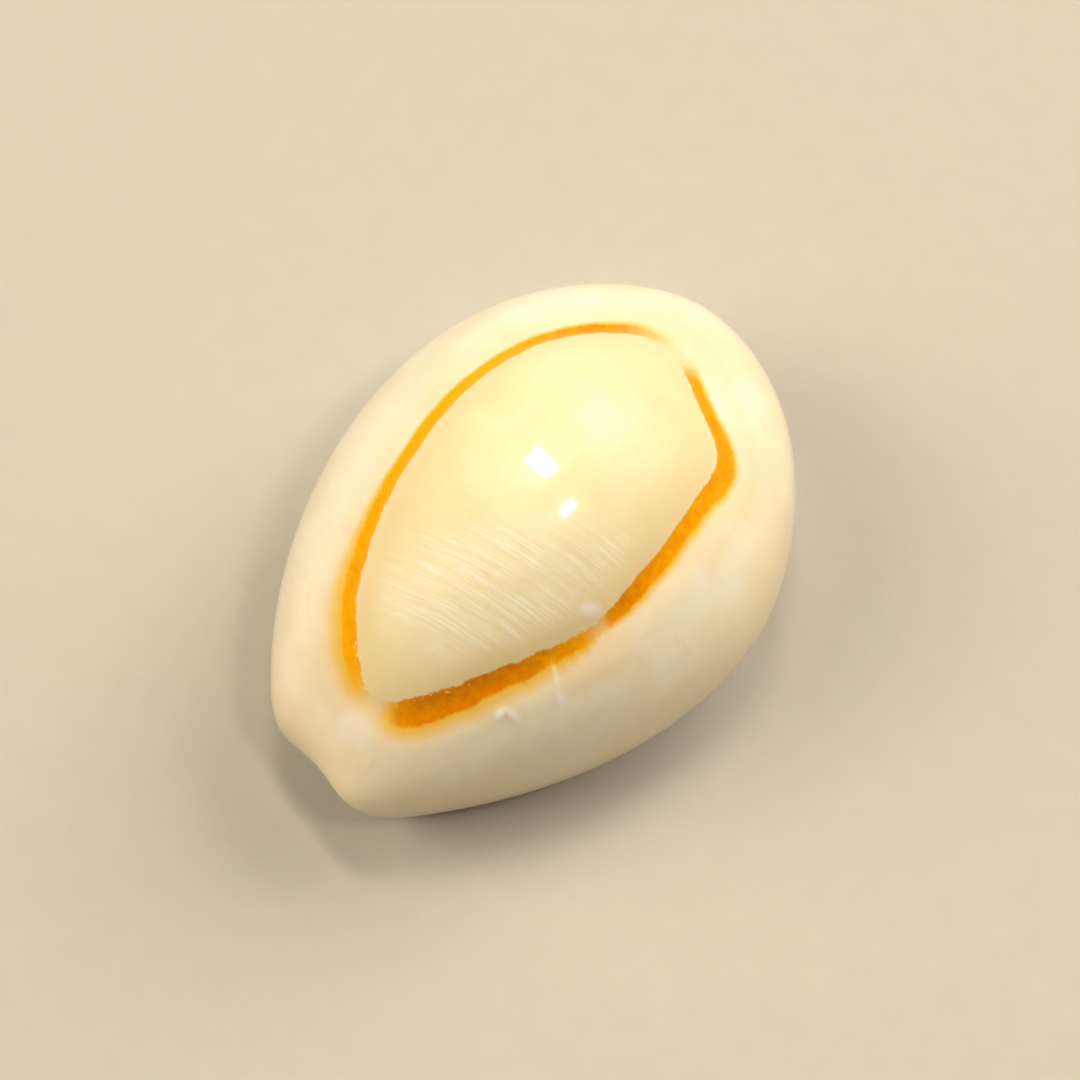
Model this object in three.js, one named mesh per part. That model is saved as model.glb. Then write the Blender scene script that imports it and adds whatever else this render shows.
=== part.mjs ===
// A ring cowrie shell, empty, resting on its flat underside.
//
// The shell is one closed surface made of closed loops of points. The loops start as a point at
// the summit of the back, grow down to the margin, turn under the heel, cross the flat base to
// the slot, roll over the two toothed lips, and spread again as the wall of the hollow inside,
// which closes under the summit. Every loop is a B-spline, and so is every line across the loops.
//
// Frame, in millimetres: +Y is the blunt rear end, where the spire is buried, -Y the front end
// with its canal, +X the inner-lip side, -X the outer-lip side, +Z up from the surface below.

import * as THREE from 'three';

// ---- Driving dimensions -------------------------------------------------------------------
const LENGTH = 24.0;
const WIDTH = 17.5;
const HEIGHT = 12.4;

// Fineness of the solid: points around each loop. There is a loop at every control loop, and
// one more between each pair where the lips roll into the slot.
const COLUMNS = 168;

// ---- Outline of the margin, seen from above -----------------------------------------------
// Control points, counter-clockwise from the inner-lip side. The four points near y = -12 make
// the blunt, slanting front end, where the canal opens between two rounded corners.
const OUTLINE = [
  [9.05, 0.6], [8.95, 4.0], [7.45, 7.35], [5.35, 10.1], [2.6, 11.9], [-0.9, 12.7],
  [-4.1, 11.2], [-6.9, 8.5], [-8.5, 5.1], [-8.95, 1.7], [-8.75, -1.7], [-7.8, -5.1],
  [-6.35, -8.1], [-4.6, -10.5], [-3.3, -11.8], [-1.9, -11.75], [-0.5, -12.0], [0.9, -12.6],
  [2.1, -11.9], [3.35, -10.6], [5.05, -8.6], [6.85, -5.9], [8.25, -2.9],
];
const SUMMIT = [0.0, 1.0];
const CORNER_WEAR = [0.06, 0.12, 0.20, 0.24, 0.20, 0.12, 0.06];   // shares of near-by points
const CORNERS_FADE_FROM = 0.82;    // the corners show from this far out between summit and margin
const OVAL_UNTIL = 0.55;           // and nearer the summit than this the back turns to an oval

// ---- Control loops ------------------------------------------------------------------------
// A value is given as [front, side, rear] and changes smoothly between them round the shell.
// Back: how far out from the summit towards the margin, and how high.
const BACK = [
  { reach: [0.00, 0.00, 0.00], height: [12.55, 12.55, 12.55] },
  { reach: [0.16, 0.16, 0.16], height: [12.48, 12.48, 12.48] },
  { reach: [0.33, 0.34, 0.34], height: [11.70, 11.90, 11.75] },
  { reach: [0.50, 0.50, 0.50], height: [10.60, 10.90, 10.60] },
  { reach: [0.66, 0.66, 0.65], height: [8.90, 9.60, 9.30] },
  { reach: [0.80, 0.83, 0.81], height: [7.00, 8.10, 8.20] },
  { reach: [0.93, 0.965, 0.95], height: [5.50, 6.30, 6.80] },
  { reach: [1.00, 1.02, 1.015], height: [4.50, 4.40, 5.10] },
  { reach: [1.00, 1.015, 1.01], height: [3.30, 2.70, 3.20] },
];
// Heel: how far in from the margin, and how high, where the side turns under.
const HEEL = [
  { inset: [0.25, 0.75, 0.50], height: [1.10, 1.10, 1.10] },
  { inset: [0.60, 2.30, 1.50], height: [0.00, 0.00, 0.00] },
];
// Foot: the flat base, as shares of the way from the slot out to the heel.
const FOOT = [0.80, 0.55, 0.30];
// Lip: how far back from the slot's edge, and how high, as the base rolls up into the slot.
const LIP = [
  { back: 0.75, height: 0.00 },
  { back: 0.30, height: 0.03 },
  { back: 0.00, height: 0.30 },
  { back: 0.00, height: 1.10 },
  { back: 0.00, height: 2.00 },
];
// Hollow: like the back, from the top of the slot out and up to the ceiling.
const HOLLOW = [
  { reach: [0.76, 0.45, 0.78], height: [3.70, 2.60, 3.20] },
  { reach: [0.83, 0.74, 0.85], height: [4.10, 3.00, 3.60] },
  { reach: [0.84, 0.84, 0.87], height: [4.90, 4.60, 4.90] },
  { reach: [0.77, 0.79, 0.80], height: [5.60, 6.80, 6.70] },
  { reach: [0.64, 0.64, 0.65], height: [7.10, 8.75, 8.40] },
  { reach: [0.46, 0.45, 0.46], height: [9.20, 10.30, 10.00] },
  { reach: [0.26, 0.26, 0.26], height: [10.80, 11.20, 11.00] },
  { reach: [0.00, 0.00, 0.00], height: [11.45, 11.45, 11.45] },
];

// ---- Base, slot and canals ----------------------------------------------------------------
const FLAT_HALF_LENGTH = 6.0;      // the base is dead flat this far each side of the middle
const END_LIFT = 0.035;            // and then rises by this much times the distance squared
const SLOT_HALF_LENGTH = 10.95;
const SLOT_HALF_WIDTH = [0.95, 0.62, 0.55];
const SLOT_SQUARENESS = 0.4;       // below 1 keeps the slot's sides parallel up to its ends
const CANALS = [
  { at: -Math.PI / 2, spread: 0.15, roof: 3.3 },        // front, long and open
  { at: 1.47, spread: 0.12, roof: 1.9 },                // rear, a small notch
];

// ---- Teeth: grooves cut into both lips, with the teeth left standing between them ----------
const TEETH = {
  outer: { count: 12, from: -8.9, to: 9.2, reach: 2.2 },
  inner: { count: 12, from: -8.7, to: 8.9, reach: 1.9 },
  fullUntil: 0.3,      // share of the reach along which a groove keeps its full depth
  depth: 0.38,
};

// ---- Curves -------------------------------------------------------------------------------
const lerp = THREE.MathUtils.lerp;
const clamp = THREE.MathUtils.clamp;
const smooth = (x) => THREE.MathUtils.smoothstep(x, 0, 1);

// Weights of the four control values around a place f (0 to 1) on a uniform cubic B-spline.
function splineWeights(f) {
  return [
    (1 - f) ** 3 / 6,
    (3 * f ** 3 - 6 * f ** 2 + 4) / 6,
    (-3 * f ** 3 + 3 * f ** 2 + 3 * f + 1) / 6,
    f ** 3 / 6,
  ];
}

// A point of the closed B-spline through the outline's control points.
function outlinePoint(t) {
  const first = Math.floor(t);
  const point = [0, 0];
  splineWeights(t - first).forEach((weight, k) => {
    const control = OUTLINE[(first + k - 1 + OUTLINE.length) % OUTLINE.length];
    point[0] += weight * control[0];
    point[1] += weight * control[1];
  });
  return point;
}

// The outline with its corners worn away, which the back has above the margin.
function softOutlinePoint(t) {
  const point = [0, 0];
  CORNER_WEAR.forEach((weight, k) => {
    const near = outlinePoint(t + k - (CORNER_WEAR.length - 1) / 2 + OUTLINE.length);
    point[0] += weight * near[0];
    point[1] += weight * near[1];
  });
  return point;
}

// The value round the shell: front at s = -1, side at s = 0, rear at s = +1.
function around([front, side, rear], s) {
  return side + ((rear - front) / 2) * s + ((rear + front) / 2 - side) * s * s;
}

// The slot's middle line leans to the outer lip, then hooks to the inner-lip side at the rear.
function slotMiddle(y) {
  const q = y / 12;
  return -0.5 + 0.35 * q + 0.45 * q * q + 0.9 * Math.max(q, 0) ** 3;
}

function baseLift(y) {
  return END_LIFT * Math.max(Math.abs(y) - FLAT_HALF_LENGTH, 0) ** 2;
}

// Lifts a height to the roof of a canal where the direction alpha lies in that canal.
function withCanals(height, alpha, rise) {
  let lifted = height;
  for (const canal of CANALS) {
    const turn = Math.atan2(Math.sin(alpha - canal.at), Math.cos(alpha - canal.at));
    const share = Math.exp(-((turn / canal.spread) ** 2));
    lifted += share * Math.max(canal.roof + rise - height, 0);
  }
  return lifted;
}

// ---- One column of control points, from the summit to the ceiling ---------------------------
// Half the width and half the length of an outline.
function halvesOf(outline) {
  const xs = [];
  const ys = [];
  for (let k = 0; k < COLUMNS; k += 1) {
    const [x, y] = outline((k / COLUMNS) * OUTLINE.length);
    xs.push(x);
    ys.push(y);
  }
  return [(Math.max(...xs) - Math.min(...xs)) / 2, (Math.max(...ys) - Math.min(...ys)) / 2];
}

function column(t, [halfWidth, halfLength], [softHalfWidth, softHalfLength]) {
  const margin = outlinePoint(t);
  const worn = softOutlinePoint(t);
  const soft = [(worn[0] * halfWidth) / softHalfWidth, (worn[1] * halfLength) / softHalfLength];
  const alpha = Math.atan2(soft[1] / halfLength, soft[0] / halfWidth);
  const s = Math.sin(alpha);
  const c = Math.cos(alpha);
  const outward = new THREE.Vector2(c / halfWidth, s / halfLength).normalize();
  const shapeAt = (r) => {
    const share = smooth(r / OVAL_UNTIL);
    return [lerp(halfWidth * c, soft[0], share), lerp(halfLength * s, soft[1], share)];
  };
  const points = [];

  BACK.forEach(({ reach, height }, k) => {
    const r = around(reach, s);
    const corners = smooth((r - CORNERS_FADE_FROM) / (1 - CORNERS_FADE_FROM));
    const z = around(height, s);
    const shape = shapeAt(r);
    points.push([
      lerp(SUMMIT[0], lerp(shape[0], margin[0], corners), r),
      lerp(SUMMIT[1], lerp(shape[1], margin[1], corners), r),
      k === BACK.length - 1 ? withCanals(z, alpha, 0.9) : z,
    ]);
  });

  let heel = margin;
  HEEL.forEach(({ inset, height }) => {
    const d = around(inset, s);
    heel = [margin[0] - outward.x * d, margin[1] - outward.y * d];
    const z = around(height, s) + baseLift(heel[1]);
    points.push([heel[0], heel[1], withCanals(z, alpha, 0.4)]);
  });

  const slotY = s * SLOT_HALF_LENGTH;
  const halfSlot = around(SLOT_HALF_WIDTH, s) * Math.sign(c) * Math.abs(c) ** SLOT_SQUARENESS;
  const slot = [slotMiddle(slotY) + halfSlot, slotY];
  for (const share of FOOT) {
    const x = lerp(slot[0], heel[0], share);
    const y = lerp(slot[1], heel[1], share);
    points.push([x, y, withCanals(baseLift(y), alpha, 0)]);
  }

  const back = new THREE.Vector2(heel[0] - slot[0], heel[1] - slot[1]);
  const room = back.length();
  back.normalize();
  LIP.forEach((step, k) => {
    const d = Math.min(step.back, room / 4);
    const y = slot[1] + back.y * d;
    points.push([slot[0] + back.x * d, y, withCanals(step.height + baseLift(y), alpha, 0.15 * k)]);
  });

  for (const { reach, height } of HOLLOW) {
    const r = around(reach, s);
    const shape = shapeAt(r);
    points.push([lerp(SUMMIT[0], shape[0], r), lerp(SUMMIT[1], shape[1], r), around(height, s)]);
  }
  return { points, slot };
}

// Where the loops of the solid lie, counted in control loops from the summit.
function loopPlaces() {
  const lipStart = BACK.length + HEEL.length + FOOT.length;
  const total = lipStart + LIP.length + HOLLOW.length;
  const places = [];
  for (let k = 0; k < total; k += 1) {
    places.push(k);
    if (k >= lipStart - 1 && k < lipStart + 3) {
      places.push(k + 0.5);
    }
  }
  return places;
}

// A point down one column. The column is mirrored at both ends, where the loops close.
function alongColumn(points, place) {
  const last = points.length - 1;
  const first = Math.min(Math.floor(place), last - 1);
  const result = new THREE.Vector3();
  splineWeights(place - first).forEach((weight, k) => {
    const j = first + k - 1;
    const inside = clamp(j, 0, last);
    const mirror = points[j < 0 ? 1 : last - 1];
    const control = points[inside];
    if (j === inside) {
      result.addScaledVector(new THREE.Vector3(...control), weight);
    } else {
      result.x += weight * (2 * control[0] - mirror[0]);
      result.y += weight * (2 * control[1] - mirror[1]);
      result.z += weight * mirror[2];
    }
  });
  return result;
}

// ---- The grid of points -------------------------------------------------------------------
function smoothGrid() {
  const halves = halvesOf(outlinePoint);
  const softHalves = halvesOf(softOutlinePoint);
  const places = loopPlaces();
  const columns = Array.from({ length: COLUMNS }, (_, k) => {
    const { points, slot } = column((k / COLUMNS) * OUTLINE.length, halves, softHalves);
    return { slot, points: places.map((place) => alongColumn(points, place)) };
  });
  return { places, columns };
}

function surfaceNormal(columns, k, row) {
  const here = columns[k].points;
  const next = columns[(k + 1) % COLUMNS].points[row];
  const previous = columns[(k + COLUMNS - 1) % COLUMNS].points[row];
  const below = here[Math.min(row + 1, here.length - 1)];
  const above = here[Math.max(row - 1, 0)];
  const down = new THREE.Vector3().subVectors(below, above);
  const along = new THREE.Vector3().subVectors(next, previous);
  return down.cross(along).normalize();
}

function grooveDepth(point, slot, place) {
  const lipStart = BACK.length + HEEL.length;
  const lipEnd = lipStart + FOOT.length + LIP.length;
  const teeth = point.x > slotMiddle(point.y) ? TEETH.inner : TEETH.outer;
  const away = Math.hypot(point.x - slot[0], point.y - slot[1]);
  const phase = ((point.y - teeth.from) / (teeth.to - teeth.from)) * teeth.count;
  const groove = (0.5 + 0.5 * Math.cos(2 * Math.PI * phase)) ** 1.3;
  const ends = smooth((phase + 0.5) * 2) * smooth((teeth.count + 0.5 - phase) * 2);
  const kept = smooth((1 - away / teeth.reach) / (1 - TEETH.fullUntil));
  const onLip = kept * smooth(place - lipStart + 1);
  const beforeHollow = smooth((lipEnd + 1.5 - place) / 2.5);
  return TEETH.depth * groove * ends * onLip * beforeHollow;
}

function toothedGrid() {
  const { places, columns } = smoothGrid();
  return columns.map(({ points, slot }, k) => points.map((point, row) => {
    const depth = grooveDepth(point, slot, places[row]);
    return point.clone().addScaledVector(surfaceNormal(columns, k, row), -depth);
  }));
}

// Scales and moves the grid so that the shell measures exactly LENGTH, WIDTH and HEIGHT.
function fitToSize(grid) {
  const box = new THREE.Box3().setFromPoints(grid.flat());
  const size = box.getSize(new THREE.Vector3());
  const middle = box.getCenter(new THREE.Vector3());
  for (const point of grid.flat()) {
    point.x = ((point.x - middle.x) * WIDTH) / size.x;
    point.y = ((point.y - middle.y) * LENGTH) / size.y;
    point.z = ((point.z - box.min.z) * HEIGHT) / size.z;
  }
}

// ---- The closed mesh: a point at each pole, and quads split in two between the loops ---------
function shellGeometry() {
  const grid = toothedGrid();
  fitToSize(grid);
  const rows = grid[0].length;
  const positions = [...grid[0][0].toArray()];
  for (let row = 1; row < rows - 1; row += 1) {
    for (const line of grid) {
      positions.push(...line[row].toArray());
    }
  }
  positions.push(...grid[0][rows - 1].toArray());

  const lastPoint = positions.length / 3 - 1;
  const at = (row, k) => 1 + (row - 1) * COLUMNS + (k % COLUMNS);
  const faces = [];
  for (let k = 0; k < COLUMNS; k += 1) {
    faces.push(0, at(1, k), at(1, k + 1));
    faces.push(lastPoint, at(rows - 2, k + 1), at(rows - 2, k));
    for (let row = 1; row < rows - 2; row += 1) {
      faces.push(at(row, k), at(row + 1, k), at(row + 1, k + 1));
      faces.push(at(row, k), at(row + 1, k + 1), at(row, k + 1));
    }
  }
  const geometry = new THREE.BufferGeometry();
  geometry.setAttribute('position', new THREE.Float32BufferAttribute(positions, 3));
  geometry.setIndex(faces);
  geometry.computeVertexNormals();
  return geometry;
}

// ---- The part -----------------------------------------------------------------------------
const porcelain = new THREE.MeshStandardMaterial({
  name: 'porcelain',
  color: new THREE.Color('#f1e4bd'),
  roughness: 0.18,
  metalness: 0.0,
});

const shell = new THREE.Mesh(shellGeometry(), porcelain);
shell.name = 'shell';

const cowrie = new THREE.Group();
cowrie.name = 'cowrie_shell';
cowrie.add(shell);

export default cowrie;
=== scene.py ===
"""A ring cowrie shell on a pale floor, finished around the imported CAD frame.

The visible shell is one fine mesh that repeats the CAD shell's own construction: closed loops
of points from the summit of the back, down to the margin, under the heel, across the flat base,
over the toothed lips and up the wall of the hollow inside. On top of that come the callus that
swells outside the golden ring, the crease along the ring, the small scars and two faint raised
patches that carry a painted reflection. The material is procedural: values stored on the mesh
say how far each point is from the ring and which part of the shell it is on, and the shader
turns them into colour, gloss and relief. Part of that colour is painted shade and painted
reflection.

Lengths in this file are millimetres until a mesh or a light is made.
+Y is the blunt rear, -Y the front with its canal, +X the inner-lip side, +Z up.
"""
import math

import bpy
import numpy as np
from mathutils import Matrix, Vector


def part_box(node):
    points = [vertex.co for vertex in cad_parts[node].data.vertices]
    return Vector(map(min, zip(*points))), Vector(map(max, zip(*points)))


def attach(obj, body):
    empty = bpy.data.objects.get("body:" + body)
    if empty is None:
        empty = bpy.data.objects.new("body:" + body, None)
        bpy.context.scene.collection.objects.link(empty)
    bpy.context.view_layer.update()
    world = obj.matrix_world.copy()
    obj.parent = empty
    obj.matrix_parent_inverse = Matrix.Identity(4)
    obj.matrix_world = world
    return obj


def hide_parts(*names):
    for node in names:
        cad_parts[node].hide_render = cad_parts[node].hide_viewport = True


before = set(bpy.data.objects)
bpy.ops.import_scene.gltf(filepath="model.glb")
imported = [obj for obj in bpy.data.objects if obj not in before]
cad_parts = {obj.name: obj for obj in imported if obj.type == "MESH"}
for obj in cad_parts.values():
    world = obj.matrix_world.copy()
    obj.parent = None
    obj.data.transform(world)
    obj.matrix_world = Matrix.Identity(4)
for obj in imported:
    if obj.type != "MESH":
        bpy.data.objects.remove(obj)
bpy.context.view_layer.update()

MM = 0.001

# ============================ the shell's surface ============================

# Control points of the margin, seen from above, counter-clockwise from the inner-lip side.
OUTLINE = [
    (9.05, 0.6), (8.95, 4.0), (7.45, 7.35), (5.35, 10.1), (2.6, 11.9), (-0.9, 12.7),
    (-4.1, 11.2), (-6.9, 8.5), (-8.5, 5.1), (-8.95, 1.7), (-8.75, -1.7), (-7.8, -5.1),
    (-6.35, -8.1), (-4.6, -10.5), (-3.3, -11.8), (-1.9, -11.75), (-0.5, -12.0), (0.9, -12.6),
    (2.1, -11.9), (3.35, -10.6), (5.05, -8.6), (6.85, -5.9), (8.25, -2.9),
]
SUMMIT = np.array([0.0, 1.0])
CORNER_WEAR = (0.06, 0.12, 0.20, 0.24, 0.20, 0.12, 0.06)   # shares of near-by points
CORNERS_FADE_FROM = 0.82    # the corners show from this far out between summit and margin
OVAL_UNTIL = 0.55           # and nearer the summit than this the back turns to an oval

# Control loops. A triple is the value at the front, at the sides and at the rear.
# Back: share of the way from the summit to the margin, and height.
BACK = [
    ((0.00, 0.00, 0.00), (12.55, 12.55, 12.55)),
    ((0.16, 0.16, 0.16), (12.48, 12.48, 12.48)),
    ((0.33, 0.34, 0.34), (11.70, 11.90, 11.75)),
    ((0.50, 0.50, 0.50), (10.60, 10.90, 10.60)),
    ((0.66, 0.66, 0.65), (8.90, 9.60, 9.30)),
    ((0.80, 0.83, 0.81), (7.00, 8.10, 8.20)),
    ((0.93, 0.965, 0.95), (5.50, 6.30, 6.80)),
    ((1.00, 1.02, 1.015), (4.50, 4.40, 5.10)),
    ((1.00, 1.015, 1.01), (3.30, 2.70, 3.20)),
]
# Heel: inset from the margin, and height.
HEEL = [
    ((0.25, 0.75, 0.50), (1.10, 1.10, 1.10)),
    ((0.60, 2.30, 1.50), (0.00, 0.00, 0.00)),
]
# Foot: shares of the way from the slot out to the heel, all at the base's own height.
FOOT = (0.80, 0.55, 0.30)
# Lip: distance back from the slot's edge, and height.
LIP = [(0.75, 0.00), (0.30, 0.03), (0.00, 0.30), (0.00, 1.10), (0.00, 2.00)]
# Hollow: share of the way from under the summit to the margin, and height.
HOLLOW = [
    ((0.76, 0.45, 0.78), (3.70, 2.60, 3.20)),
    ((0.83, 0.74, 0.85), (4.10, 3.00, 3.60)),
    ((0.84, 0.84, 0.87), (4.90, 4.60, 4.90)),
    ((0.77, 0.79, 0.80), (5.60, 6.80, 6.70)),
    ((0.64, 0.64, 0.65), (7.10, 8.75, 8.40)),
    ((0.46, 0.45, 0.46), (9.20, 10.30, 10.00)),
    ((0.26, 0.26, 0.26), (10.80, 11.20, 11.00)),
    ((0.00, 0.00, 0.00), (11.45, 11.45, 11.45)),
]
FLAT_HALF_LENGTH = 6.0      # the base is dead flat this far each side of the middle
END_LIFT = 0.035            # and then rises by this much times the distance squared
SLOT_HALF_LENGTH = 10.95
SLOT_HALF_WIDTH = (0.95, 0.62, 0.55)
SLOT_SQUARENESS = 0.4       # below 1 keeps the slot's sides parallel up to its ends
# Slot's middle line: x in the middle, slope, bend, and the hook at the rear.
SLOT_COURSE = (-0.5, 0.35, 0.45, 0.9)
SLOT_COURSE_LENGTH = 12.0
# Canals: direction from the middle, spread (both in radians) and height of the roof.
CANALS = [(-math.pi / 2, 0.15, 3.3), (1.47, 0.12, 1.9)]
# How much higher than that the last loop of the back, the heel and each further lip loop pass.
CANAL_RISE_ON_BACK = 0.9
CANAL_RISE_ON_HEEL = 0.4
CANAL_RISE_PER_LIP_LOOP = 0.15
# Teeth on each lip: how many, the first and last groove's y, and how far out they reach.
OUTER_TEETH = (12, -8.9, 9.2, 2.2)
INNER_TEETH = (12, -8.7, 8.9, 1.9)
TEETH_FULL_UNTIL = 0.3      # share of the reach along which a groove keeps its full depth
TOOTH_DEPTH = 0.38
GROOVE_SHARPNESS = 1.3

# Fineness: points around a loop, and loops from one control loop to the next on each stretch.
COLUMNS = 560
LOOPS_ON_BACK = 12
LOOPS_ON_FOOT = 4
LOOPS_ON_LIP = 6
LOOPS_IN_HOLLOW = 2

FOOT_START = len(BACK)
LIP_START = FOOT_START + len(HEEL) + len(FOOT)
HOLLOW_START = LIP_START + len(LIP)
LOOP_END = HOLLOW_START + len(HOLLOW) - 1


def smooth(x):
    """Smooth step from 0 at x = 0 to 1 at x = 1."""
    x = np.clip(x, 0.0, 1.0)
    return x * x * (3.0 - 2.0 * x)


def spline_weights(f):
    """Weights of the four control values around a place f on a uniform cubic B-spline."""
    return (
        (1 - f) ** 3 / 6,
        (3 * f ** 3 - 6 * f ** 2 + 4) / 6,
        (-3 * f ** 3 + 3 * f ** 2 + 3 * f + 1) / 6,
        f ** 3 / 6,
    )


def closed_spline(controls, places):
    """Values of a closed B-spline at places counted in control points."""
    controls = np.asarray(controls, float)
    first = np.floor(places).astype(int)
    weights = spline_weights(places - first)
    return sum(w[:, None] * controls[(first + k - 1) % len(controls)]
               for k, w in enumerate(weights))


def around(triple, s):
    """The value round the shell: front at s = -1, side at s = 0, rear at s = +1."""
    front, side, rear = triple
    return side + (rear - front) / 2 * s + ((rear + front) / 2 - side) * s * s


def slot_middle(y):
    """x of the slot's middle line, which hooks to the inner-lip side at the rear."""
    middle, slope, bend, hook = SLOT_COURSE
    q = y / SLOT_COURSE_LENGTH
    return middle + slope * q + bend * q * q + hook * np.maximum(q, 0.0) ** 3


def base_lift(y):
    """Height of the base, which rises towards both ends."""
    return END_LIFT * np.maximum(np.abs(y) - FLAT_HALF_LENGTH, 0.0) ** 2


def with_canals(height, alpha, rise):
    """Lifts heights to the roof of a canal where the direction alpha lies in it."""
    lifted = height
    for at, spread, roof in CANALS:
        turn = np.arctan2(np.sin(alpha - at), np.cos(alpha - at))
        share = np.exp(-(turn / spread) ** 2)
        lifted = lifted + share * np.maximum(roof + rise - height, 0.0)
    return lifted


def outlines():
    """The margin, and the same with its corners worn away and the same length and width."""
    places = np.arange(COLUMNS) * len(OUTLINE) / COLUMNS
    margin = closed_spline(OUTLINE, places)
    half = len(CORNER_WEAR) // 2
    soft = sum(w * closed_spline(OUTLINE, places + k - half) for k, w in enumerate(CORNER_WEAR))
    return margin, soft * np.ptp(margin, axis=0) / np.ptp(soft, axis=0)


def control_loops():
    """All control loops from the summit to the ceiling, and the slot's edge in plan."""
    margin, soft = outlines()
    half_width, half_length = np.ptp(margin, axis=0) / 2
    alpha = np.arctan2(soft[:, 1] / half_length, soft[:, 0] / half_width)
    s = np.sin(alpha)
    c = np.cos(alpha)
    outward = np.stack([c / half_width, s / half_length], 1)
    outward /= np.linalg.norm(outward, axis=1, keepdims=True)
    oval = np.stack([half_width * c, half_length * s], 1)
    loops = []
    for k, (reach, height) in enumerate(BACK):
        r = around(reach, s)[:, None]
        corners = smooth((r - CORNERS_FADE_FROM) / (1 - CORNERS_FADE_FROM))
        shape = oval + (soft - oval) * smooth(r / OVAL_UNTIL)
        plan = SUMMIT * (1 - r) + (shape * (1 - corners) + margin * corners) * r
        z = around(height, s)
        if k == len(BACK) - 1:
            z = with_canals(z, alpha, CANAL_RISE_ON_BACK)
        loops.append(np.column_stack([plan, z]))
    for inset, height in HEEL:
        heel = margin - outward * around(inset, s)[:, None]
        z = around(height, s) + base_lift(heel[:, 1])
        loops.append(np.column_stack([heel, with_canals(z, alpha, CANAL_RISE_ON_HEEL)]))
    slot_y = s * SLOT_HALF_LENGTH
    half_slot = around(SLOT_HALF_WIDTH, s) * np.sign(c) * np.abs(c) ** SLOT_SQUARENESS
    slot = np.stack([slot_middle(slot_y) + half_slot, slot_y], 1)
    for share in FOOT:
        plan = slot * (1 - share) + heel * share
        loops.append(np.column_stack([plan, with_canals(base_lift(plan[:, 1]), alpha, 0.0)]))
    back = heel - slot
    room = np.linalg.norm(back, axis=1, keepdims=True)
    for k, (distance, height) in enumerate(LIP):
        plan = slot + back / room * np.minimum(distance, room / 4)
        z = with_canals(height + base_lift(plan[:, 1]), alpha, CANAL_RISE_PER_LIP_LOOP * k)
        loops.append(np.column_stack([plan, z]))
    for reach, height in HOLLOW:
        r = around(reach, s)[:, None]
        shape = oval + (soft - oval) * smooth(r / OVAL_UNTIL)
        loops.append(np.column_stack([SUMMIT * (1 - r) + shape * r, around(height, s)]))
    return np.array(loops), slot


def loop_places():
    """Where the mesh's loops lie, counted in control loops from the summit."""
    edges = (0, FOOT_START, LIP_START - 1, HOLLOW_START, LOOP_END)
    counts = (LOOPS_ON_BACK, LOOPS_ON_FOOT, LOOPS_ON_LIP, LOOPS_IN_HOLLOW)
    places = [np.arange((b - a) * n) / n + a for a, b, n in zip(edges, edges[1:], counts)]
    return np.concatenate(places + [[LOOP_END]])


def across_loops(loops, places):
    """B-spline across the control loops. The ends are mirrored, where the surface closes."""
    before = 2 * loops[0] - loops[1]
    before[:, 2] = loops[1][:, 2]
    after = 2 * loops[-1] - loops[-2]
    after[:, 2] = loops[-2][:, 2]
    controls = np.concatenate([[before], loops, [after]])
    first = np.minimum(np.floor(places).astype(int), len(loops) - 2)
    weights = spline_weights(places - first)
    return sum(w[:, None, None] * controls[first + k] for k, w in enumerate(weights))


def surface_normals(grid):
    """Outward unit normals of the grid of loops."""
    along = np.roll(grid, -1, 1) - np.roll(grid, 1, 1)
    down = np.gradient(grid, axis=0)
    normals = np.cross(down, along)
    normals /= np.linalg.norm(normals, axis=2, keepdims=True) + 1e-12
    normals[0] = (0.0, 0.0, 1.0)
    return normals


def groove_depths(grid, slot, places):
    """How deep the grooves between the teeth are at each point."""
    x, y = grid[..., 0], grid[..., 1]
    away = np.hypot(x - slot[:, 0], y - slot[:, 1])
    place = places[:, None]
    depths = np.zeros(x.shape)
    inner = x > slot_middle(y)
    for side, (count, start, end, reach) in ((inner, INNER_TEETH), (~inner, OUTER_TEETH)):
        phase = (y - start) / (end - start) * count
        groove = (0.5 + 0.5 * np.cos(2 * math.pi * phase)) ** GROOVE_SHARPNESS
        ends = smooth((phase + 0.5) * 2) * smooth((count + 0.5 - phase) * 2)
        kept = smooth((1 - away / reach) / (1 - TEETH_FULL_UNTIL))
        on_lip = kept * smooth(place - FOOT_START - len(HEEL) + 1)
        depths = np.where(side, TOOTH_DEPTH * groove * ends * on_lip, depths)
    return depths * smooth((HOLLOW_START + 1.5 - place) / 2.5)


def fit_to_cad(grid):
    """Scales and moves the grid so that it fills the CAD shell's box exactly."""
    low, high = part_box("shell")
    low = np.array(low) / MM
    high = np.array(high) / MM
    points = grid.reshape(-1, 3)
    return low + (grid - points.min(0)) * (high - low) / np.ptp(points, axis=0)
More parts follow.
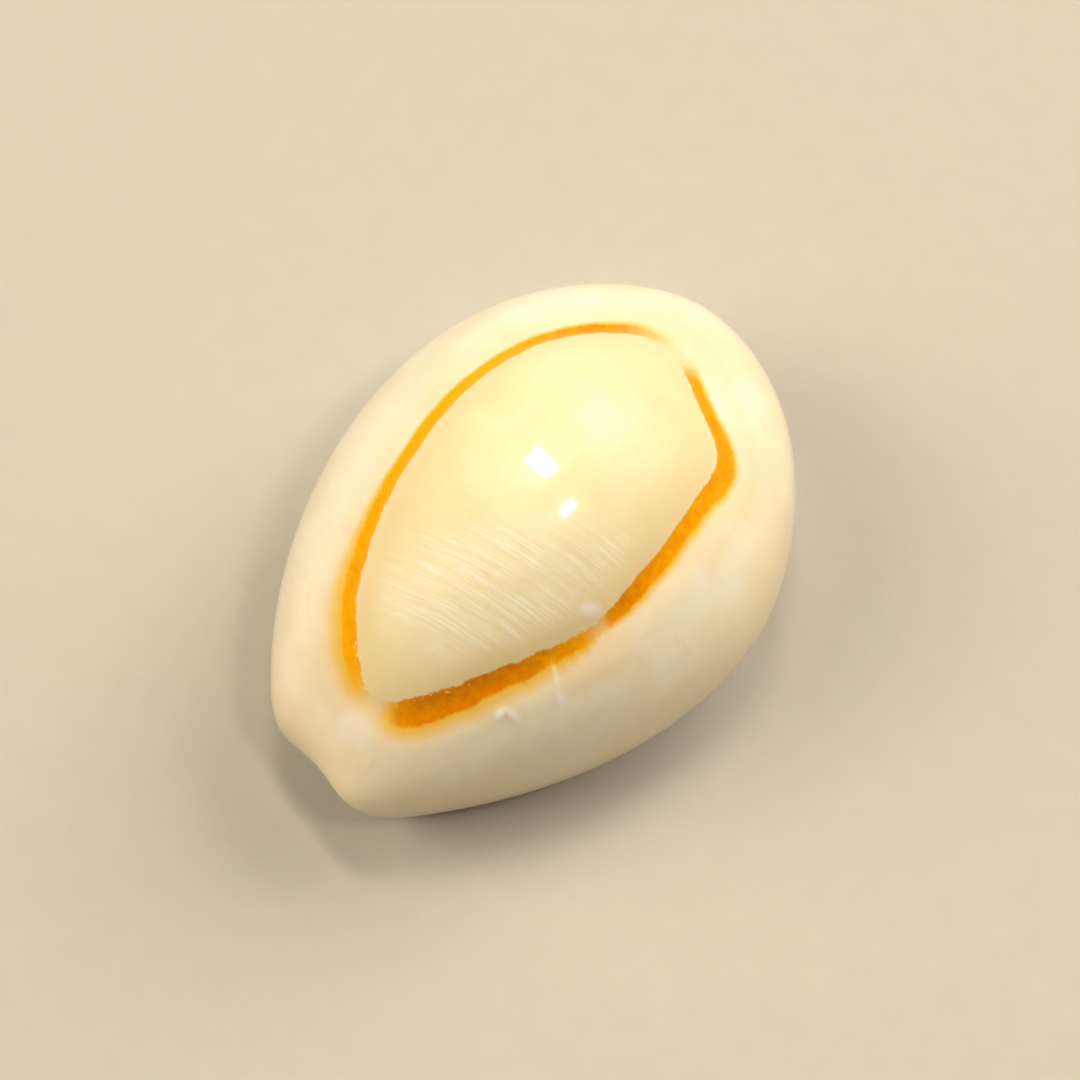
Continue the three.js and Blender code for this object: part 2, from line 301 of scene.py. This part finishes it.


# ============================ Blender: the shell's mesh ============================

# The golden ring, point by point along its middle from the front end of the left arm round the
# rear and down the right arm: x, y, half width, tone (0 golden to 1 burnt orange; the ring's own
# colour, and on the front of the right arm partly painted shade), strength (1 whole, 0 or less
# broken) and halo (how far the yellow bleeds outwards, mm).
RING = [
    (-0.85, -9.20, 0.24, 0.10, 0.80, 0.40),
    (-1.80, -8.37, 0.36, 0.12, 0.95, 0.55),
    (-2.60, -7.45, 0.37, 0.20, 1.00, 0.55),
    (-3.30, -6.40, 0.35, 0.22, 1.00, 0.46),
    (-3.75, -5.10, 0.34, 0.20, 1.00, 0.32),
    (-4.15, -3.80, 0.32, 0.15, 1.00, 0.20),
    (-4.37, -2.30, 0.32, 0.12, 1.00, 0.12),
    (-4.50, -0.80, 0.33, 0.10, 1.00, 0.10),
    (-4.55, 1.00, 0.33, 0.10, 1.00, 0.10),
    (-4.32, 2.60, 0.32, 0.12, 1.00, 0.10),
    (-3.98, 4.25, 0.31, 0.25, 1.00, 0.11),
    (-3.32, 5.85, 0.33, 0.45, 1.00, 0.12),
    (-2.40, 7.15, 0.33, 0.65, 1.00, 0.13),
    (-1.35, 8.15, 0.30, 0.50, 0.75, 0.18),
    (-0.30, 8.48, 0.22, 0.30, 0.00, 0.40),
    (0.80, 8.15, 0.20, 0.20, -0.40, 0.40),
    (1.35, 7.78, 0.24, 0.40, 1.00, 0.18),
    (2.15, 7.32, 0.30, 0.40, 1.00, 0.14),
    (3.25, 6.65, 0.32, 0.40, 1.00, 0.14),
    (4.16, 6.25, 0.35, 0.40, 1.00, 0.14),
    (4.88, 5.35, 0.50, 0.40, 1.00, 0.16),
    (4.96, 4.15, 0.36, 0.40, 1.00, 0.18),
    (5.20, 2.20, 0.34, 0.40, 1.00, 0.22),
    (5.27, 0.60, 0.34, 0.40, 1.00, 0.22),
    (5.22, -0.70, 0.36, 0.60, 1.00, 0.20),
    (5.16, -1.45, 0.30, 0.60, 1.00, 0.16),
    (5.08, -1.95, 0.22, 0.40, 1.00, 0.12),
    (5.00, -2.35, 0.16, 0.20, 0.10, 0.14),
    (4.88, -2.80, 0.22, 0.20, 0.85, 0.20),
    (4.68, -3.35, 0.28, 0.30, 1.00, 0.26),
    (4.45, -3.90, 0.30, 0.40, 1.00, 0.32),
    (4.12, -4.55, 0.35, 0.55, 1.00, 0.36),
    (3.58, -5.50, 0.42, 0.75, 1.00, 0.42),
    (2.88, -6.65, 0.47, 0.75, 1.00, 0.44),
    (2.18, -7.80, 0.52, 0.70, 1.00, 0.44),
    (1.45, -8.67, 0.60, 0.70, 1.00, 0.46),
    (0.75, -9.12, 0.44, 0.50, 0.90, 0.40),
    (0.05, -9.30, 0.20, 0.10, -0.55, 0.40),
]
RING_STEPS = 1400        # places along the ring's course
HEIGHT_EVERY = 10        # the back's height is looked up at one in so many of these places
POINT_EVERY = 7          # among one in so many points of the back
SEARCH_REACH = 240       # places each side of the first guess searched for the nearest one
SEARCH_STRIDE = 4
FAR_FROM_RING = 20.0     # stands for the distance of points that aren't on the back

CALLUS_SWELL = 0.20      # how far the callus stands up outside the ring
CALLUS_RISE = 1.5        # distance from the ring over which it rises
CALLUS_FADE = (1.9, 3.4)                # distance where it starts to sink again, and over which
CREASE_DEPTH = 0.05      # how far the ring's line lies below both sides
CREASE_HALF_WIDTH = 0.45
DOME_SWELL = 0.08        # how far the dome inside the ring stands up
DOME_RISE = 1.6          # distance from the ring over which it rises

# Where, counted in control loops, the colours of the underside and of the hollow come in.
UNDER_FROM = FOOT_START - 1.2
UNDER_OVER = 1.8
INSIDE_FROM = LIP_START + 1.5
INSIDE_OVER = 3.0


def shell_grid():
    """The toothed grid in the CAD shell's box, where its loops lie, and how much of their
    full depth the tooth grooves have at each point."""
    loops, slot = control_loops()
    places = loop_places()
    grid = across_loops(loops, places)
    normals = surface_normals(grid)
    grooves = groove_depths(grid, slot, places)
    grid = fit_to_cad(grid - normals * grooves[..., None])
    return grid, places, grooves / TOOTH_DEPTH


def ring_values(grid, places):
    """For each point: signed distance to the ring's middle line, + outside, and the ring's
    half width, tone (partly painted shade), strength and halo at the nearest place on it."""
    course = closed_spline(RING, np.arange(RING_STEPS) * len(RING) / RING_STEPS)
    centre = course[:, :2].mean(0)
    outside = places < FOOT_START
    points = grid[outside]

    # The ring's course is lifted on to the back: each place takes the height found there.
    flat = points.reshape(-1, 3)
    upper = flat[::POINT_EVERY]
    heights = [upper[np.argmin(((upper[:, :2] - place[:2]) ** 2).sum(1)), 2]
               for place in course[::HEIGHT_EVERY]]
    steps = np.arange(RING_STEPS)
    height = np.interp(steps, steps[::HEIGHT_EVERY], heights, period=RING_STEPS)
    line = np.column_stack([course[:, :2], height])

    # The nearest place is searched among those in nearly the same direction from the centre.
    turn = np.arctan2(line[:, 1] - centre[1], line[:, 0] - centre[0])
    order = np.argsort(turn)
    point_turn = np.arctan2(flat[:, 1] - centre[1], flat[:, 0] - centre[0])
    guess = np.searchsorted(turn[order], point_turn)
    best = np.full(len(flat), np.inf)
    nearest = np.zeros(len(flat), int)
    for shift in range(-SEARCH_REACH, SEARCH_REACH + 1, SEARCH_STRIDE):
        candidate = order[(guess + shift) % RING_STEPS]
        distance = np.linalg.norm(flat - line[candidate], axis=1)
        closer = distance < best
        best[closer] = distance[closer]
        nearest[closer] = candidate[closer]
    radius = np.hypot(flat[:, 0] - centre[0], flat[:, 1] - centre[1])
    own = order[guess % RING_STEPS]
    ring_radius = np.hypot(line[own, 0] - centre[0], line[own, 1] - centre[1])
    signed = np.where(radius > ring_radius, best, -best)

    values = np.zeros(grid.shape[:2] + (5,))
    values[..., 0] = FAR_FROM_RING
    values[outside, :, 0] = signed.reshape(points.shape[:2])
    for k in range(4):
        values[outside, :, k + 1] = course[nearest, k + 2].reshape(points.shape[:2])
    return values


# Small scars on the back, and two lighter patches whose white is a painted reflection: x, y,
# half length, half width (mm), direction (degrees from +X), height of the relief and how white it
# is.
SCARS_AND_SHEEN = [
    (4.40, -2.26, 0.60, 0.28, 46, 0.020, 0.75),
    (3.82, -6.70, 0.32, 0.13, 71, 0.055, 0.95),
    (4.20, -6.41, 0.40, 0.13, 13, 0.055, 0.95),
    (4.25, -6.95, 0.60, 0.34, 20, 0.010, 0.25),
    (4.66, -4.55, 0.46, 0.10, -38, 0.015, 0.40),
    (5.15, -4.92, 0.27, 0.20, 0, 0.025, 1.00),
    # The next two rows, on the inner-lip flank, are no scars: their white is a painted reflection
    # over a faint raised patch.
    (6.40, -1.50, 0.75, 0.13, 75, 0.012, 0.25),
    (6.45, 1.50, 0.80, 0.30, -52, 0.012, 0.22),
    (-0.05, -10.10, 1.00, 0.65, 0, 0.010, 0.42),
]
SCARS_AND_SHEEN_ABOVE = 5.0        # keeps them off the base that lies below
SCAR_AND_SHEEN_CORE = 0.4          # share of a scar's or patch's size that has its full height and whiteness


def swell(offset):
    """Relief of the back by the distance from the ring: dome, crease and callus."""
    fade_start, fade_width = CALLUS_FADE
    dome = DOME_SWELL * smooth(-offset / DOME_RISE)
    callus = CALLUS_SWELL * smooth(offset / CALLUS_RISE)
    callus *= 1 - smooth((offset - fade_start) / fade_width)
    crease = -CREASE_DEPTH * np.exp(-(offset / CREASE_HALF_WIDTH) ** 2)
    return dome + callus + crease


def scar_and_sheen_values(grid):
    """Relief and whiteness of the small scars, and of the two patches whose whiteness is a
    painted reflection.
    """
    relief = np.zeros(grid.shape[:2])
    white = np.zeros(grid.shape[:2])
    for x, y, half_length, half_width, direction, height, whiteness in SCARS_AND_SHEEN:
        turn = math.radians(direction)
        dx = grid[..., 0] - x
        dy = grid[..., 1] - y
        along = (dx * math.cos(turn) + dy * math.sin(turn)) / half_length
        across = (dy * math.cos(turn) - dx * math.sin(turn)) / half_width
        edge = smooth((np.hypot(along, across) - SCAR_AND_SHEEN_CORE) / (1 - SCAR_AND_SHEEN_CORE))
        shape = np.where(grid[..., 2] > SCARS_AND_SHEEN_ABOVE, 1 - edge, 0.0)
        relief += height * shape
        white = np.maximum(white, whiteness * shape)
    return relief, white


def closed_mesh(name, grid):
    """A mesh of the grid's loops, its first and last loops drawn together to a point each."""
    inner = grid[1:-1].reshape(-1, 3)
    points = np.concatenate([grid[0][:1], inner, grid[-1][:1]])
    rows = len(grid) - 2
    column = np.arange(COLUMNS)
    after = (column + 1) % COLUMNS
    starts = 1 + np.arange(rows - 1)[:, None] * COLUMNS
    quads = np.stack([starts + column, starts + COLUMNS + column,
                      starts + COLUMNS + after, starts + after], axis=2).reshape(-1, 4)
    last_row = 1 + (rows - 1) * COLUMNS
    end = len(points) - 1
    faces = [(0, 1 + a, 1 + b) for a, b in zip(column, after)]
    faces += [(end, last_row + b, last_row + a) for a, b in zip(column, after)]
    mesh = bpy.data.meshes.new(name)
    mesh.from_pydata((points * MM).tolist(), [], quads.tolist() + faces)
    mesh.shade_smooth()
    return mesh


def add_value(mesh, name, values):
    """Stores a grid of numbers on the mesh's points, for the shader to read."""
    flat = np.concatenate([values[0][:1], values[1:-1].reshape(-1), values[-1][:1]])
    attribute = mesh.attributes.new(name, "FLOAT", "POINT")
    attribute.data.foreach_set("value", flat.astype(np.float32))


def shell_object():
    """The visible shell, with the values that its material reads."""
    grid, places, grooves = shell_grid()
    ring = ring_values(grid, places)
    offset = ring[..., 0]
    outside = (places < FOOT_START)[:, None]
    relief, white = scar_and_sheen_values(grid)
    raised = np.where(outside, swell(offset) + relief, 0.0)
    raised[0] = raised[1].mean()
    grid = fit_to_cad(grid + surface_normals(grid) * raised[..., None])
    mesh = closed_mesh("cowrie_shell", grid)
    names = ("ring_offset", "ring_half", "ring_tone_and_shade", "ring_strength", "ring_halo")
    for k, name in enumerate(names):
        add_value(mesh, name, ring[..., k])
    place = np.broadcast_to(places[:, None], grooves.shape)
    add_value(mesh, "scar_and_sheen", np.where(outside, white, 0.0))
    add_value(mesh, "groove", grooves)
    add_value(mesh, "under", smooth((place - UNDER_FROM) / UNDER_OVER))
    add_value(mesh, "inside", smooth((place - INSIDE_FROM) / INSIDE_OVER))
    shell = bpy.data.objects.new("cowrie_shell", mesh)
    bpy.context.scene.collection.objects.link(shell)
    return shell


# ============================ Blender: materials ============================

def rgb(code):
    """An sRGB colour code such as 'ffcc00' as a linear RGBA colour."""
    channels = [int(code[k:k + 2], 16) / 255 for k in (0, 2, 4)]
    linear = [c / 12.92 if c <= 0.04045 else ((c + 0.055) / 1.055) ** 2.4 for c in channels]
    return (*linear, 1.0)


class Shader:
    """A node material under construction, with a short method for each kind of node."""

    def __init__(self, name):
        self.material = bpy.data.materials.new(name)
        self.material.use_nodes = True
        self.tree = self.material.node_tree
        self.tree.nodes.clear()

    def add(self, kind, **settings):
        node = self.tree.nodes.new(kind)
        for key, value in settings.items():
            setattr(node, key, value)
        return node

    def link(self, value, socket):
        """Feeds a socket with a number, a colour or another node's output."""
        if isinstance(value, bpy.types.NodeSocket):
            self.tree.links.new(value, socket)
        else:
            socket.default_value = value

    def value(self, name):
        """A number that add_value stored on the mesh."""
        node = self.add("ShaderNodeAttribute", attribute_type="GEOMETRY", attribute_name=name)
        return node.outputs["Fac"]

    def math(self, operation, a, b=0.0):
        node = self.add("ShaderNodeMath", operation=operation)
        self.link(a, node.inputs[0])
        self.link(b, node.inputs[1])
        return node.outputs[0]

    def product(self, first, *others):
        for other in others:
            first = self.math("MULTIPLY", first, other)
        return first

    def parts(self, vector):
        """The vector's x, y and z."""
        node = self.add("ShaderNodeSeparateXYZ")
        self.link(vector, node.inputs[0])
        return node.outputs[0], node.outputs[1], node.outputs[2]

    def step(self, value, start, end, low=0.0, high=1.0):
        """Smooth step of value from low at start to high at end."""
        node = self.add("ShaderNodeMapRange", interpolation_type="SMOOTHSTEP")
        for key, part in (("Value", value), ("From Min", start), ("From Max", end),
                          ("To Min", low), ("To Max", high)):
            self.link(part, node.inputs[key])
        return node.outputs["Result"]

    def mix(self, factor, a, b):
        """Colour a where the factor is 0, colour b where it is 1."""
        node = self.add("ShaderNodeMix", data_type="RGBA")
        self.link(factor, node.inputs[0])
        self.link(a, node.inputs[6])
        self.link(b, node.inputs[7])
        return node.outputs[2]

    def position(self):
        """Place on the object in millimetres."""
        node = self.add("ShaderNodeMapping", vector_type="POINT")
        self.link(self.add("ShaderNodeTexCoord").outputs["Object"], node.inputs["Vector"])
        node.inputs["Scale"].default_value = (1 / MM, 1 / MM, 1 / MM)
        return node.outputs["Vector"]

    def noise(self, vector, size, detail=2.0, roughness=0.5, distortion=0.0):
        """Noise from 0 to 1 with features of about the given size in millimetres."""
        node = self.add("ShaderNodeTexNoise")
        self.link(vector, node.inputs["Vector"])
        node.inputs["Scale"].default_value = 1.0 / size
        node.inputs["Detail"].default_value = detail
        node.inputs["Roughness"].default_value = roughness
        node.inputs["Distortion"].default_value = distortion
        return node.outputs["Fac"]


def callus_colour(sh, place):
    """Porcelain of the callus: cream with faint peach and whiter clouds, and painted shade in tan
    low on the sides.
    """
    clouds = sh.noise(place, 3.5, detail=3.0)
    colour = sh.mix(sh.step(clouds, 0.35, 0.65), rgb("f5e4c0"), rgb("fbf0d6"))
    blotches = sh.noise(place, 1.3, detail=4.0, roughness=0.6, distortion=0.6)
    colour = sh.mix(sh.step(blotches, 0.50, 0.75, 0.0, 0.30), colour, rgb("efd7ad"))
    # Painted shade: the callus is mixed towards tan the lower it lies on the sides.
    height = sh.parts(place)[2]
    return sh.mix(sh.step(height, 7.8, 2.5, 0.0, 0.6), colour, rgb("d6bf90"))


def dome_colour(sh, place, lines):
    """The dome inside the ring: yellower and a little greener, with fine growth lines, and
    painted shade in darker peach where it slopes down to the ring.
    """
    clouds = sh.noise(place, 2.5, detail=3.0)
    colour = sh.mix(sh.step(clouds, 0.35, 0.65), rgb("eee1b2"), rgb("f6e8bc"))
    veils = sh.noise(place, 1.1, detail=4.0, roughness=0.6, distortion=0.8)
    colour = sh.mix(sh.step(veils, 0.50, 0.72, 0.0, 0.35), colour, rgb("e6dab0"))
    # Painted shade: darker peach on the dome's edge where it falls towards the ring.
    shade_near_ring = sh.step(sh.value("ring_offset"), -2.8, -0.2, 0.0, 0.75)
    colour = sh.mix(shade_near_ring, colour, rgb("f3d9a4"))
    return sh.mix(lines, colour, rgb("fdf8e2"))


LINE_SPACING = 0.45      # from one broad growth line to the next, mm
LINE_GRAIN = 0.09        # size of the fine lines between them, mm
LINE_SLOPE = 0.17        # how much the lines rise towards the inner-lip side
LINE_SQUEEZE = 0.05      # x counts this much, which draws the lines out along x
LINE_DRIFT = 9.0         # radians by which the broad lines wander out of step


def growth_lines(sh, place):
    """Fine light lines across the front half of the dome, rising to the inner-lip side."""
    x, y, _ = sh.parts(place)
    across = sh.math("SUBTRACT", y, sh.math("MULTIPLY", x, LINE_SLOPE))
    combine = sh.add("ShaderNodeCombineXYZ")
    sh.link(sh.math("MULTIPLY", x, LINE_SQUEEZE), combine.inputs[0])
    sh.link(across, combine.inputs[1])
    course = combine.outputs[0]
    drift = sh.math("MULTIPLY", sh.noise(course, 1.1, detail=1.0), LINE_DRIFT)
    turns = sh.math("ADD", sh.math("MULTIPLY", across, 2 * math.pi / LINE_SPACING), drift)
    wave = sh.math("ADD", sh.math("MULTIPLY", sh.math("SINE", turns), 0.5), 0.5)
    fine = sh.step(sh.noise(course, LINE_GRAIN, detail=2.0, roughness=0.6), 0.42, 0.64)
    lines = sh.math("ADD", sh.math("MULTIPLY", wave, 0.3), sh.math("MULTIPLY", fine, 0.6))
    return sh.math("MULTIPLY", lines, growth_line_area(sh, place, x, across))


def growth_line_area(sh, place, x, across):
    """How strongly the growth lines show: in patches, and not near the ring, on a scar or on a
    patch of painted reflection.
    """
    patches = sh.step(sh.noise(place, 1.5, detail=2.0), 0.30, 0.60, 0.35, 1.0)
    behind = sh.math("SUBTRACT", across, sh.math("MULTIPLY", x, 0.55))
    front = sh.math("MULTIPLY", sh.step(behind, -1.0, -3.8), sh.step(across, -8.4, -5.8))
    side = sh.math("MULTIPLY", sh.step(x, -4.0, -0.4), sh.step(x, 5.3, 3.8))
    off_scars_and_sheen = sh.step(sh.value("scar_and_sheen"), 0.0, 0.4, 1.0, 0.0)
    off_ring = sh.step(sh.value("ring_offset"), -0.5, -2.0)
    return sh.product(front, side, patches, off_scars_and_sheen, off_ring)


def ring_colour(sh, place):
    """Golden to burnt orange, mottled; the burnt orange on the front of the right arm is partly
    painted shade. Where the ring breaks off it turns peach, or at the front a paler yellow."""
    mottle = sh.noise(place, 0.42, detail=4.0, roughness=0.65)
    uneven = sh.math("MULTIPLY", sh.math("SUBTRACT", mottle, 0.5), 1.1)
    # Golden to burnt orange: the ring's own tone, partly painted shade on the front of the right
    # arm.
    tone_and_shade = sh.math("ADD", sh.value("ring_tone_and_shade"), uneven)
    colour = sh.mix(sh.step(tone_and_shade, 0.0, 1.0), rgb("fbac00"), rgb("dc7a00"))
    end_colour = sh.mix(at_front(sh, place), rgb("f2b570"), rgb("f3c04a"))
    return sh.mix(sh.step(sh.value("ring_strength"), 0.95, 0.45), colour, end_colour)


def at_front(sh, place):
    """1 where the ring's two arms near each other, 0 further back."""
    return sh.step(sh.parts(place)[1], -5.5, -8.0)


def ring_masks(sh, place):
    """How strongly the ring covers, how strongly its yellow bleeds outwards, and the pale
    yellow flecks along its inner edge at the front."""
    waver = sh.math("SUBTRACT", sh.noise(place, 1.3, detail=1.0), 0.5)
    ragged = sh.math("SUBTRACT", sh.noise(place, 0.13, detail=3.0, roughness=0.6), 0.5)
    wander = sh.math("ADD", sh.math("MULTIPLY", waver, 0.12), sh.math("MULTIPLY", ragged, 0.16))
    offset = sh.math("ADD", sh.value("ring_offset"), wander)
    half = sh.value("ring_half")
    strength = sh.value("ring_strength")
    from_inner_edge = sh.math("ADD", offset, half)
    past_outer_edge = sh.math("SUBTRACT", offset, half)

    inner = sh.step(from_inner_edge, -0.04, 0.07)
    outer = sh.step(past_outer_edge, 0.09, -0.08)
    worn = sh.step(sh.noise(place, 0.16, detail=3.0, roughness=0.7), 0.15, 0.40, 0.88, 1.0)
    cut_by_scars_and_sheen = sh.step(sh.value("scar_and_sheen"), 0.1, 0.6, 1.0, 0.35)
    cover = sh.product(inner, outer, sh.step(strength, 0.0, 0.7), worn, cut_by_scars_and_sheen)

    spread = sh.math("DIVIDE", past_outer_edge, sh.value("ring_halo"))
    fading = sh.step(strength, -0.45, 0.9, 0.0, 0.92)
    bleed = sh.product(sh.step(spread, 1.8, 0.0), inner, fading)

    edge = sh.math("MULTIPLY", sh.step(from_inner_edge, -0.10, 0.0),
                   sh.step(from_inner_edge, 0.34, 0.06))
    specks = sh.step(sh.noise(place, 0.15, detail=1.0), 0.62, 0.70, 0.0, 0.9)
    edge_flecks = sh.product(specks, at_front(sh, place), edge)
    return cover, bleed, edge_flecks


def underside_colour(sh, colour, place):
    """Ivory base and teeth, tinted grooves between the teeth, lilac-grey hollow."""
    ivory = sh.mix(sh.noise(place, 2.0, detail=3.0), rgb("f3e8cf"), rgb("faf3e2"))
    colour = sh.mix(sh.value("under"), colour, ivory)
    colour = sh.mix(sh.step(sh.value("groove"), 0.2, 1.0, 0.0, 0.6), colour, rgb("e2c58e"))
    return sh.mix(sh.value("inside"), colour, rgb("b7a3ae"))


WAVE_RELIEF = 0.002      # of the uneven polish, mm
PIT_RELIEF = 0.0006
LINE_RELIEF = 0.004


def shell_relief(sh, place, lines):
    """Bump of the uneven polish, of its fine pits and of the growth lines."""
    waves = sh.math("MULTIPLY", sh.noise(place, 0.9, detail=3.0), WAVE_RELIEF)
    pits = sh.math("MULTIPLY", sh.noise(place, 0.12, detail=2.0), PIT_RELIEF)
    height = sh.math("ADD", waves, pits)
    height = sh.math("ADD", height, sh.math("MULTIPLY", lines, LINE_RELIEF))
    bump = sh.add("ShaderNodeBump")
    bump.inputs["Strength"].default_value = 1.0
    bump.inputs["Distance"].default_value = MM
    sh.link(height, bump.inputs["Height"])
    return bump.outputs["Normal"]


def porcelain():
    """The whole shell's material."""
    sh = Shader("porcelain")
    place = sh.position()
    offset = sh.value("ring_offset")
    lines = growth_lines(sh, place)
    cover, bleed, edge_flecks = ring_masks(sh, place)

    on_dome = sh.step(offset, 0.25, -0.25)
    colour = sh.mix(on_dome, callus_colour(sh, place), dome_colour(sh, place, lines))
    beside_ring = sh.product(sh.step(offset, 2.2, 0.3), sh.step(offset, -0.1, 0.2), 0.35)
    colour = sh.mix(beside_ring, colour, rgb("efd09a"))
    colour = sh.mix(bleed, colour, rgb("f2c02a"))
    colour = sh.mix(cover, colour, ring_colour(sh, place))
    colour = sh.mix(edge_flecks, colour, rgb("fbe6a0"))
    # White of the scars; on the two patches of the inner-lip flank this white is a painted
    # reflection.
    colour = sh.mix(sh.value("scar_and_sheen"), colour, rgb("fbf3ea"))
    colour = underside_colour(sh, colour, place)

    smears = sh.noise(place, 1.6, detail=4.0, roughness=0.6)
    gloss = sh.step(smears, 0.3, 0.7, 0.28, 0.36)
    roughness = sh.math("ADD", gloss, sh.math("MULTIPLY", sh.value("scar_and_sheen"), 0.25))
    roughness = sh.math("ADD", roughness, sh.math("MULTIPLY", sh.value("under"), 0.08))

    shader = sh.add("ShaderNodeBsdfPrincipled")
    sh.link(colour, shader.inputs["Base Color"])
    sh.link(roughness, shader.inputs["Roughness"])
    sh.link(shell_relief(sh, place, lines), shader.inputs["Normal"])
    shader.inputs["IOR"].default_value = 1.53
    sh.link(sh.step(cover, 0.0, 1.0, 0.30, 0.05), shader.inputs["Subsurface Weight"])
    shader.inputs["Subsurface Radius"].default_value = (1.0, 0.62, 0.30)
    shader.inputs["Subsurface Scale"].default_value = 0.4 * MM
    sh.link(sh.step(cover, 0.0, 1.0, 0.5, 0.15), shader.inputs["Specular IOR Level"])
    sh.link(sh.step(cover, 0.0, 1.0, 0.60, 0.15), shader.inputs["Coat Weight"])
    shader.inputs["Coat Roughness"].default_value = 0.04
    output = sh.add("ShaderNodeOutputMaterial")
    sh.link(shader.outputs[0], output.inputs["Surface"])
    return sh.material


def floor_material():
    """Plain pale paper."""
    sh = Shader("floor_paper")
    grain = sh.noise(sh.position(), 1.2, detail=3.0)
    shader = sh.add("ShaderNodeBsdfPrincipled")
    sh.link(sh.mix(grain, rgb("beb8ac"), rgb("c4beb2")), shader.inputs["Base Color"])
    shader.inputs["Roughness"].default_value = 0.75
    shader.inputs["Specular IOR Level"].default_value = 0.2
    output = sh.add("ShaderNodeOutputMaterial")
    sh.link(shader.outputs[0], output.inputs["Surface"])
    return sh.material


# ============================ Blender: stage, lights and camera ============================

VIEW_AZIMUTH = 38.5       # degrees: the camera stands at the front, towards the inner-lip side
VIEW_ELEVATION = 68.0     # and looks steeply down
VIEW_DISTANCE = 120.0
VIEW_WIDTH = 40.987       # what the image spans at that distance
SENSOR_WIDTH = 36.0
AIM = Vector((0.0, 0.0, 4.5))
AIM_RIGHT = 0.30          # the shell lies a little left of the image's middle
AIM_UP = 0.36             # and a little below it

FLOOR_HALF_SIZE = 900.0

# Lamps: name, direction to it (azimuth as the camera's, elevation), distance, size across and
# along, roll about its own axis, power in watts, colour, and whether its reflection shows.
LAMPS = [
    ("lamp_main", -143.8, 72.9, 300, 32, 88, 45, 0.23, "fff5e4", True),
    ("lamp_side", 98.0, 66.4, 300, 38, 42, 80, 0.15, "fff5e4", True),
    ("lamp_glow", -178.0, 38.0, 500, 280, 280, 0, 0.50, "fff5e4", True),
    ("softbox_rear", 160.0, 37.0, 500, 360, 360, 0, 2.0, "fff8ec", False),
    ("softbox_left", -54.0, 40.0, 500, 360, 360, 0, 2.00, "fff4e0", False),
    ("fill", 60.0, 40.0, 600, 400, 400, 0, 0.03, "ffdcb0", False),
]
SKY = "ffe9cf"
SKY_STRENGTH = 0.05


def direction(azimuth, elevation):
    """Unit vector towards a place seen at that azimuth and elevation, as the views count them."""
    a = math.radians(azimuth)
    e = math.radians(elevation)
    return Vector((math.sin(a) * math.cos(e), -math.cos(a) * math.cos(e), math.sin(e)))


def facing(towards):
    """Rotation that turns an object's -Z away from a direction, with its +Y up."""
    return towards.to_track_quat("Z", "Y").to_euler()


def make_floor():
    """The surface that the shell lies on."""
    mesh = bpy.data.meshes.new("floor")
    h = FLOOR_HALF_SIZE * MM
    mesh.from_pydata([(-h, -h, 0), (h, -h, 0), (h, h, 0), (-h, h, 0)], [], [(0, 1, 2, 3)])
    mesh.materials.append(floor_material())
    floor = bpy.data.objects.new("floor", mesh)
    bpy.context.scene.collection.objects.link(floor)


def make_lamp(name, azimuth, elevation, distance, width, length, roll, power, colour, reflected):
    """A rectangular area lamp that faces the shell."""
    light = bpy.data.lights.new(name, "AREA")
    light.shape = "RECTANGLE"
    light.size = width * MM
    light.size_y = length * MM
    light.energy = power
    light.color = rgb(colour)[:3]
    lamp = bpy.data.objects.new(name, light)
    towards = direction(azimuth, elevation)
    lamp.location = (AIM + towards * distance) * MM
    turned = facing(towards).to_matrix() @ Matrix.Rotation(math.radians(roll), 3, "Z")
    lamp.rotation_euler = turned.to_euler()
    lamp.visible_glossy = reflected
    bpy.context.scene.collection.objects.link(lamp)


def make_sky():
    """Faint even light from everywhere."""
    world = bpy.data.worlds.new("studio")
    world.use_nodes = True
    background = world.node_tree.nodes["Background"]
    background.inputs["Color"].default_value = rgb(SKY)
    background.inputs["Strength"].default_value = SKY_STRENGTH
    bpy.context.scene.world = world


def make_camera():
    """The camera, so aimed that the shell lies where AIM_RIGHT and AIM_UP put it."""
    data = bpy.data.cameras.new("camera")
    data.sensor_width = SENSOR_WIDTH
    data.lens = SENSOR_WIDTH * VIEW_DISTANCE / VIEW_WIDTH
    data.clip_start = 0.005
    camera = bpy.data.objects.new("camera", data)
    towards = direction(VIEW_AZIMUTH, VIEW_ELEVATION)
    right = Vector((0, 0, 1)).cross(towards).normalized()
    aim = AIM + right * AIM_RIGHT + towards.cross(right) * AIM_UP
    camera.location = (aim + towards * VIEW_DISTANCE) * MM
    camera.rotation_euler = facing(towards)
    bpy.context.scene.collection.objects.link(camera)
    bpy.context.scene.camera = camera


# ============================ the scene ============================

bpy.context.scene.view_settings.view_transform = "Standard"
make_camera()
make_sky()
for lamp_values in LAMPS:
    make_lamp(*lamp_values)
make_floor()

shell = shell_object()
shell.data.materials.append(porcelain())
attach(shell, "root")
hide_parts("shell")
